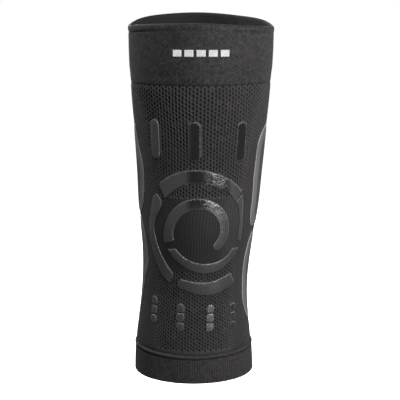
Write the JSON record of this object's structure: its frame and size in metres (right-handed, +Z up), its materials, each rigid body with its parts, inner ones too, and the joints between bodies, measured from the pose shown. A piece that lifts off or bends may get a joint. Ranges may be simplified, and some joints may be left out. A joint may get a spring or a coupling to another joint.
{
  "type": "knee brace",
  "caption": "Knitted knee support sleeve in the form of a worn leg, with cuffs, a printed spiral round the kneecap, printed bars, and leaf strips down the sides.",
  "frame": {"origin": "on the leg's axis inside the sleeve, at the height of the middle of the kneecap", "axes": "+Z up the thigh, -Y towards the front of the knee, +X to the right of someone who looks at the front"},
  "size_m": [0.1291, 0.1382, 0.3226],
  "materials": {
    "mesh_knit": "dull ventilated nylon knit",
    "cuff_knit": "dull doubled nylon knit with fine ribs",
    "front_print": "glossy printed silicone on knit",
    "side_print": "satin printed silicone on knit, paler than the front"
  },
  "bodies": {
    "root": {"sleeve_body": "mesh_knit", "upper_cuff": "cuff_knit", "lower_cuff": "cuff_knit", "outer_arc_top": "front_print", "outer_arc_left": "front_print", "outer_arc_right": "front_print", "outer_arc_bottom": "front_print", "inner_swirl": "front_print", "inner_crescent": "front_print", "thigh_bar_left": "front_print", "thigh_bar_middle": "front_print", "thigh_bar_right": "front_print", "shin_dash_1_top": "front_print", "shin_dash_1_middle": "front_print", "shin_dash_1_foot": "front_print", "shin_dash_2_top": "front_print", "shin_dash_2_middle": "front_print", "shin_dash_2_foot": "front_print", "shin_dash_3_top": "front_print", "shin_dash_3_middle": "front_print", "shin_dash_3_foot": "front_print", "shin_dash_4_top": "front_print", "shin_dash_4_middle": "front_print", "shin_dash_4_foot": "front_print", "side_leaf_right_upper": "side_print", "side_leaf_right_lower": "side_print", "side_leaf_left_upper": "side_print", "side_leaf_left_lower": "side_print"}
  },
  "joints": []
}
